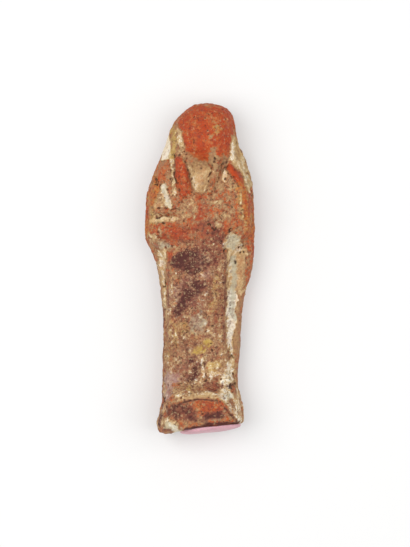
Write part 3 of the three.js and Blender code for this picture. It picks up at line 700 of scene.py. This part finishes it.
def weather(body, clay):
    """Carves, coats, wears and pits the mesh, and stores for the material where each coat is and where
    painted shade falls.
    """
    p = vertex_places(body) / MM
    noise = surface_noise(p)
    p = carve(body, p, noise)
    n = vertex_normals(body)
    side = 1 - ramp(neighbour_mean(body, n, SIDE_ROUNDS)[:, 2], 0.05, 0.4)
    coats = lay_coats(body, p, side, noise)
    chaff = chaff_pits(p, coats.thick)

    heights = (
        clay.unevenness / MM * (0.6 * noise.broad + 0.6 * noise.middle + 0.55 * noise.ragged)
        + clay.grit / MM * noise.fine * (1 - 0.4 * coats.thick)
        + clay.slip_thickness / MM * (coats.thick + 0.3 * ramp(coats.slip, 0.2, 0.5))
        - clay.pit_depth / MM * (chaff + 2.2 * coats.holes)
    )
    p = p + n * heights[:, None]
    p[:, 2] = np.maximum(p[:, 2], BODY_LOW.z / MM)
    set_vertex_places(body, p * MM)

    # How far each point lies below its neighbours, for the painted shade in hollows.
    worn = neighbour_mean(body, p[:, 2], PIT_ROUNDS) - p[:, 2]
    stored = {name: getattr(coats, name) for name in ("slip", "stain", "ochre", "grey", "lilac", "broken")}
    stored["pit"] = np.maximum(0.45 * coats.broken * chaff, 0.8 * coats.holes)
    # Painted shade in hollows and down the sides, and a painted shadow round the slip's rims; thick slip
    # takes little of it.
    stored["crevice_shade"] = (7 * worn + 1.3 * coats.rim_shadow + 0.2 * side) * (1 - 0.85 * coats.thick)
    for name, values in stored.items():
        store(body, name, np.clip(values, -1, 1.5))


# ---- materials ----------------------------------------------------------------------------------
class Nodes:
    """Short ways to add and join shader nodes in one tree."""

    def __init__(self, tree):
        self.tree = tree

    def add(self, kind, **settings):
        node = self.tree.nodes.new(kind)
        for key, value in settings.items():
            setattr(node, key, value)
        return node

    def put(self, value, socket):
        """Joins an output to a socket, or sets the socket to a plain number or colour."""
        if isinstance(value, bpy.types.NodeSocket):
            self.tree.links.new(value, socket)
        elif isinstance(value, (Color, tuple)):
            socket.default_value = (*value, 1)
        else:
            socket.default_value = value

    def noise_texture(self, where, scale, detail, rough=0.5):
        node = self.add("ShaderNodeTexNoise")
        for name, value in (("Vector", where), ("Scale", scale), ("Detail", detail), ("Roughness", rough)):
            self.put(value, node.inputs[name])
        return node

    def noise(self, where, size, detail, rough):
        """Noise from 0 to 1 whose lumps are size across, in drawn millimetres."""
        return self.noise_texture(where, 1 / (size * MM), detail, rough).outputs["Fac"]

    def math(self, operation, *values):
        node = self.add("ShaderNodeMath", operation=operation)
        for value, socket in zip(values, node.inputs):
            self.put(value, socket)
        return node.outputs[0]

    def plus(self, a, b):
        return self.math("ADD", a, b)

    def times(self, a, b):
        return self.math("MULTIPLY", a, b)

    def ramp(self, value, low, high, to_low=0.0, to_high=1.0):
        node = self.add("ShaderNodeMapRange", interpolation_type="SMOOTHSTEP")
        self.put(value, node.inputs["Value"])
        for key, number in (("From Min", low), ("From Max", high), ("To Min", to_low), ("To Max", to_high)):
            self.put(number, node.inputs[key])
        return node.outputs["Result"]

    def mix(self, share, a, b, blend="MIX"):
        """Blends two colours. A Mix node keeps its colours in inputs 6 and 7 and in output 2."""
        node = self.add("ShaderNodeMix", data_type="RGBA", blend_type=blend)
        self.put(share, node.inputs[0])
        self.put(a, node.inputs[6])
        self.put(b, node.inputs[7])
        return node.outputs[2]

    def tones(self, amount, stops):
        """A colour that runs through the stops' colours as the amount runs through their places."""
        node = self.add("ShaderNodeValToRGB")
        elements = node.color_ramp.elements
        for place, _ in stops[1:-1]:
            elements.new(place)
        for element, (place, colour) in zip(elements, stops):
            element.position = place
            element.color = (*colour, 1)
        self.put(amount, node.inputs["Fac"])
        return node.outputs["Color"]

    def attribute(self, name):
        return self.add("ShaderNodeAttribute", attribute_name=name).outputs["Fac"]

    def bump(self, height, distance, shader):
        """Gives the shader a relief of that distance, in drawn millimetres."""
        node = self.add("ShaderNodeBump")
        self.put(distance * MM, node.inputs["Distance"])
        self.put(height, node.inputs["Height"])
        self.put(node.outputs["Normal"], shader.inputs["Normal"])


def new_material(name):
    material = bpy.data.materials.new(name)
    material.use_nodes = True
    material.node_tree.nodes.clear()
    nodes = Nodes(material.node_tree)
    shader = nodes.add("ShaderNodeBsdfPrincipled")
    output = nodes.add("ShaderNodeOutputMaterial")
    nodes.put(shader.outputs["BSDF"], output.inputs["Surface"])
    return material, nodes, shader


def object_place(nodes):
    return nodes.add("ShaderNodeTexCoord").outputs["Object"]


def new_group(name, takes, gives):
    """An empty node group with these named sockets, with its nodes and both of its ends."""
    group = bpy.data.node_groups.new(name, "ShaderNodeTree")
    for in_out, sockets in (("INPUT", takes), ("OUTPUT", gives)):
        for socket, kind in sockets.items():
            group.interface.new_socket(socket, in_out=in_out, socket_type="NodeSocket" + kind)
    nodes = Nodes(group)
    return group, nodes, nodes.add("NodeGroupInput").outputs, nodes.add("NodeGroupOutput").inputs


def speckle_group():
    """Lightens and darkens a colour in fine specks, and gives the grain's height."""
    if "Speckle" in bpy.data.node_groups:
        return bpy.data.node_groups["Speckle"]
    takes = {"Vector": "Vector", "Color": "Color", "Size": "Float", "Amount": "Float"}
    group, nodes, given, out = new_group("Speckle", takes, {"Color": "Color", "Height": "Float"})
    grain = nodes.noise_texture(given["Vector"], nodes.math("DIVIDE", 1.0, given["Size"]), 2).outputs["Fac"]
    darker = nodes.times(nodes.ramp(grain, 0.46, 0.3), given["Amount"])
    lighter = nodes.times(nodes.ramp(grain, 0.56, 0.72), given["Amount"])
    shade = nodes.mix(darker, given["Color"], (0.35, 0.28, 0.25), "MULTIPLY")
    nodes.put(nodes.mix(lighter, shade, (0.3, 0.22, 0.16), "SCREEN"), out["Color"])
    nodes.put(grain, out["Height"])
    return group


def speckled(nodes, where, colour, size, amount):
    node = nodes.add("ShaderNodeGroup", node_tree=speckle_group())
    for name, value in (("Vector", where), ("Color", colour), ("Size", size * MM), ("Amount", amount)):
        nodes.put(value, node.inputs[name])
    return node.outputs["Color"], node.outputs["Height"]


FLECK_BEND = 1.7  # how far flecks are bent out of round, in their own size
FLECK_BEND_SCALE = 1.7  # how many bends there are to a fleck's size


def flecks_group():
    """Scatters ragged spots over a share of the cells: 1 in a spot and 0 elsewhere."""
    if "Flecks" in bpy.data.node_groups:
        return bpy.data.node_groups["Flecks"]
    takes = {"Vector": "Vector", "Size": "Float", "Share": "Float"}
    group, nodes, given, out = new_group("Flecks", takes, {"Mask": "Float"})
    scaled = nodes.add("ShaderNodeVectorMath", operation="DIVIDE")
    nodes.put(given["Vector"], scaled.inputs[0])
    nodes.put(given["Size"], scaled.inputs[1])
    warp = nodes.noise_texture(scaled.outputs[0], FLECK_BEND_SCALE, 2)
    bent = nodes.add("ShaderNodeVectorMath", operation="MULTIPLY_ADD")
    nodes.put(warp.outputs["Color"], bent.inputs[0])
    bent.inputs[1].default_value = [FLECK_BEND] * 3
    nodes.put(scaled.outputs[0], bent.inputs[2])
    cells = nodes.add("ShaderNodeTexVoronoi")
    nodes.put(bent.outputs[0], cells.inputs["Vector"])
    nodes.put(1, cells.inputs["Scale"])
    draw = nodes.add("ShaderNodeSeparateColor")
    nodes.put(cells.outputs["Color"], draw.inputs[0])
    chosen = nodes.math("LESS_THAN", draw.outputs[0], given["Share"])
    nodes.put(nodes.times(nodes.ramp(cells.outputs["Distance"], 0.5, 0.12), chosen), out["Mask"])
    return group


def flecks(nodes, where, size, share):
    node = nodes.add("ShaderNodeGroup", node_tree=flecks_group())
    for name, value in (("Vector", where), ("Size", size * MM), ("Share", share)):
        nodes.put(value, node.inputs[name])
    return node.outputs["Mask"]


def clay_material(clay):
    material, nodes, shader = new_material("worn_clay")
    where = object_place(nodes)
    cloud = nodes.noise(where, size=3.6, detail=4, rough=0.6)
    speck = nodes.noise(where, size=1.3, detail=4, rough=0.7)
    blotch = nodes.noise(where, size=1.1, detail=3, rough=0.65)
    sooty = nodes.noise(where, size=0.75, detail=2, rough=0.6)
    grit = nodes.noise(where, size=0.5, detail=2, rough=0.6)
    slip, stain, broken = nodes.attribute("slip"), nodes.attribute("stain"), nodes.attribute("broken")

    # The coat wears through in grains, so its amount is stirred before it picks a colour.
    stir = nodes.plus(nodes.ramp(speck, 0.36, 0.64, -0.19, 0.19), nodes.ramp(grit, 0.34, 0.66, -0.14, 0.14))
    stir = nodes.plus(nodes.times(stir, broken), nodes.ramp(cloud, 0.3, 0.7, -0.05, 0.05))
    tones = (
        (0.0, clay.red_clay),
        (0.2, clay.orange_clay),
        (0.4, clay.brown_film),
        (0.6, clay.tan_film),
        (0.8, clay.cream_slip),
        (1.0, clay.white_slip),
    )
    colour = nodes.tones(nodes.plus(slip, stir), tones)

    # Bare clay is filmed, duller, brighter and sooty from place to place.
    bare = nodes.ramp(slip, 0.45, 0.75, 1, 0)
    unstained = nodes.ramp(stain, 0.3, 0.55, 1, 0)
    filmed = nodes.times(nodes.times(nodes.ramp(broken, 0.9, 1.3, 0, 0.6), bare), unstained)
    colour = nodes.mix(filmed, colour, clay.brown_film)
    bare_and_broken = nodes.times(bare, broken)
    duller = nodes.times(nodes.ramp(blotch, 0.56, 0.38, 0, 0.7), bare_and_broken)
    colour = nodes.mix(duller, colour, clay.wash)
    colour = nodes.mix(nodes.ramp(cloud, 0.5, 0.72, 0, 0.25), colour, clay.orange_clay)
    soot = nodes.times(nodes.ramp(sooty, 0.48, 0.34, 0, 0.6), bare_and_broken)
    colour = nodes.mix(soot, colour, clay.dark_stain)

    # Tints and stains lie over the coat, with blotchy edges.
    for name, low, share, tone in (
        ("ochre", 0.1, 0.72, clay.ochre),
        ("grey", 0.2, 0.75, clay.grey_slip),
        ("lilac", 0.1, 0.62, clay.lilac),
    ):
        stirred = nodes.math("MULTIPLY_ADD", nodes.math("SUBTRACT", blotch, 0.5), 1.6, nodes.attribute(name))
        colour = nodes.mix(nodes.ramp(stirred, low, 1.1, 0, share), colour, tone)
    spread = nodes.plus(stain, nodes.ramp(blotch, 0.28, 0.72, -0.3, 0.3))
    colour = nodes.mix(nodes.ramp(spread, 0.1, 0.75, 0, 0.8), colour, clay.wash)
    colour = nodes.mix(nodes.ramp(spread, 0.5, 1.1, 0, 0.92), colour, clay.dark_stain)

    # Dark and pale flecks, then clusters of small crumbs, then the dark in the pits and the painted shade in
    # hollows, down the sides and round the slip's rims.
    dark = flecks(nodes, where, size=1.2, share=nodes.times(broken, 0.24))
    colour = nodes.mix(nodes.times(dark, 0.66), colour, clay.grime_and_shade)
    pale = flecks(nodes, where, size=1.1, share=nodes.times(broken, 0.3))
    colour = nodes.mix(nodes.times(pale, 0.36), colour, clay.cream_slip)
    clusters = nodes.times(nodes.ramp(broken, 0.7, 1.4, 0, 0.26), nodes.ramp(cloud, 0.4, 0.6, 0.2, 2.0))
    crumbs = flecks(nodes, where, size=0.62, share=clusters)
    colour = nodes.mix(nodes.times(crumbs, 0.52), colour, clay.cream_slip)
    # Dark in the pits, and painted shade in hollows, down the sides and round the slip's rims.
    dirt = nodes.plus(nodes.attribute("pit"), nodes.attribute("crevice_shade"))
    colour = nodes.mix(nodes.ramp(dirt, 0.15, 1.0, 0, 0.9), colour, clay.grime_and_shade)
    nodes.put(colour, shader.inputs["Base Color"])

    nodes.put(nodes.ramp(speck, 0.3, 0.7, 0.6, 0.85), shader.inputs["Roughness"])
    nodes.put(0.2, shader.inputs["Specular IOR Level"])
    height = nodes.plus(nodes.times(grit, 0.7), speck)
    height = nodes.math("SUBTRACT", height, nodes.times(dark, 0.35))
    nodes.bump(height, 0.22, shader)
    return material


def pad_material(pad):
    material, nodes, shader = new_material("pink_pad")
    where = object_place(nodes)
    cloud = nodes.noise(where, size=5, detail=3, rough=0.5)
    pale = tuple(min(1, 1.12 * c + 0.03) for c in pad.colour)
    colour = nodes.mix(nodes.ramp(cloud, 0.35, 0.65), pad.colour, pale)
    colour, grain = speckled(nodes, where, colour, size=0.5, amount=0.15)
    nodes.put(colour, shader.inputs["Base Color"])
    nodes.put(nodes.ramp(cloud, 0.3, 0.7, 0.5, 0.62), shader.inputs["Roughness"])
    nodes.put(0.1, shader.inputs["Subsurface Weight"])
    nodes.put(0.6 * MM, shader.inputs["Subsurface Scale"])
    nodes.bump(grain, 0.03, shader)
    return material


def floor_material(stage):
    material, nodes, shader = new_material("studio_floor")
    nodes.put(stage.floor_colour * stage.floor_matt, shader.inputs["Base Color"])
    nodes.put(stage.floor_colour, shader.inputs["Emission Color"])
    nodes.put(stage.floor_glow, shader.inputs["Emission Strength"])
    nodes.put(0.9, shader.inputs["Roughness"])
    nodes.put(0.1, shader.inputs["Specular IOR Level"])
    return material


# ---- operators ----------------------------------------------------------------------------------
def dress(piece, material):
    activate(piece)
    bpy.ops.object.shade_smooth()
    piece.data.materials.append(material)


class USHABTI_OT_body(bpy.types.Operator):
    """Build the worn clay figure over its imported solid"""

    bl_idname = "ushabti.body"
    bl_label = "Clay figure"

    def execute(self, context):
        clay = context.scene.ushabti_clay
        body = fine_copy(BODY_NODE, "clay_figure", clay.mesh_grain)
        weather(body, clay)
        dress(body, clay_material(clay))
        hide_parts(BODY_NODE)
        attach(body, "root")
        return {"FINISHED"}


class USHABTI_OT_pad(bpy.types.Operator):
    """Build the pink pad that is pressed on the sole"""

    bl_idname = "ushabti.pad"
    bl_label = "Foot pad"

    def execute(self, context):
        pad = context.scene.ushabti_pad
        piece = fine_copy(PAD_NODE, "pink_foot_pad", pad.mesh_grain)
        places, normals = vertex_places(piece), vertex_normals(piece)
        wave = pad.waviness * lumps(places / MM, size=6, seed=71, octaves=2)
        # The pad's back faces the head, along Y.
        pressed = pad.squeeze * ramp(normals[:, 1], 0.2, 0.8)
        set_vertex_places(piece, places + normals * (wave + pressed)[:, None])
        dress(piece, pad_material(pad))
        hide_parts(PAD_NODE)
        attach(piece, "root")
        return {"FINISHED"}


# Powers are in watts. Sizes, and places from the figure's middle, are in lengths of the figure.
SOFT_LIGHTS = (
    ("soft_key", 3.1, 5, (-3.2, 0.6, 6)),
    ("soft_fill", 1.85, 5, (3.6, 0.2, 5.6)),
)
AIR_STRENGTH = 0.62
FLOOR_SIZE = 30  # lengths of the figure
FLOOR_GAP = 0.05  # drawn millimetres
VIEW_MIDDLE = Vector((1.75, -1.58, 0))  # from the figure's middle, in drawn millimetres
WIDEST_AT = 0.36  # share of the figure's height at which it is widest
SENSOR = 36  # millimetres


def area_light(name, power, size, place, towards):
    light = bpy.data.lights.new(name, "AREA")
    light.energy = power
    light.size = size
    lamp = bpy.data.objects.new(name, light)
    bpy.context.scene.collection.objects.link(lamp)
    lamp.location = place
    lamp.rotation_euler = (towards - lamp.location).to_track_quat("-Z", "Y").to_euler()


def add_floor(stage, middle, low_z, size):
    bpy.ops.object.select_all(action="DESELECT")
    bpy.ops.mesh.primitive_plane_add(size=size, location=(middle.x, middle.y, low_z - FLOOR_GAP * MM))
    floor = bpy.context.object
    floor.name = "studio_floor"
    floor.data.materials.append(floor_material(stage))


def add_air(scene):
    world = bpy.data.worlds.new("studio_air")
    world.use_nodes = True
    background = world.node_tree.nodes["Background"]
    background.inputs["Color"].default_value = (1, 1, 1, 1)
    background.inputs["Strength"].default_value = AIR_STRENGTH
    scene.world = world


def add_camera(scene, stage, middle, widest_z):
    camera = bpy.data.objects.new("camera", bpy.data.cameras.new("camera"))
    scene.collection.objects.link(camera)
    camera.location = middle + VIEW_MIDDLE * MM
    camera.location.z = widest_z + stage.camera_height
    camera.data.sensor_width = SENSOR
    camera.data.lens = SENSOR * stage.camera_height / stage.view_length
    camera.data.clip_start = 0.01
    camera.data.clip_end = 10
    scene.camera = camera


class USHABTI_OT_stage(bpy.types.Operator):
    """Set up the pale floor, the soft light and the camera above the figure"""

    bl_idname = "ushabti.stage"
    bl_label = "Studio"

    def execute(self, context):
        scene, stage = context.scene, context.scene.ushabti_stage
        low, high = CAD_BOX
        middle = (low + high) / 2
        length = high.y - low.y
        add_floor(stage, middle, low.z, FLOOR_SIZE * length)
        for name, power, size, place in SOFT_LIGHTS:
            area_light(name, power, size * length, middle + Vector(place) * length, middle)
        add_air(scene)
        add_camera(scene, stage, middle, low.z + WIDEST_AT * (high.z - low.z))
        scene.view_settings.view_transform = "Standard"
        return {"FINISHED"}


class USHABTI_PT_panel(bpy.types.Panel):
    """Lists the steps that build the figure, and their settings"""

    bl_label = "Ushabti"
    bl_idname = "USHABTI_PT_panel"
    bl_space_type = "VIEW_3D"
    bl_region_type = "UI"
    bl_category = "Ushabti"

    def draw(self, context):
        for operator in OPERATORS:
            self.layout.operator(operator.bl_idname)
        for name, kind in SETTINGS.items():
            for setting in kind.__annotations__:
                self.layout.prop(getattr(context.scene, name), setting)


OPERATORS = (USHABTI_OT_stage, USHABTI_OT_body, USHABTI_OT_pad)
SETTINGS = {"ushabti_clay": UshabtiClay, "ushabti_pad": UshabtiPad, "ushabti_stage": UshabtiStage}


def register():
    for cls in (*SETTINGS.values(), *OPERATORS, USHABTI_PT_panel):
        bpy.utils.register_class(cls)
    for name, cls in SETTINGS.items():
        setattr(bpy.types.Scene, name, bpy.props.PointerProperty(type=cls))


def unregister():
    for name in SETTINGS:
        delattr(bpy.types.Scene, name)
    for cls in reversed((*SETTINGS.values(), *OPERATORS, USHABTI_PT_panel)):
        bpy.utils.unregister_class(cls)


def main():
    register()
    bpy.ops.ushabti.stage()
    bpy.ops.ushabti.body()
    bpy.ops.ushabti.pad()


if __name__ == "__main__":
    main()
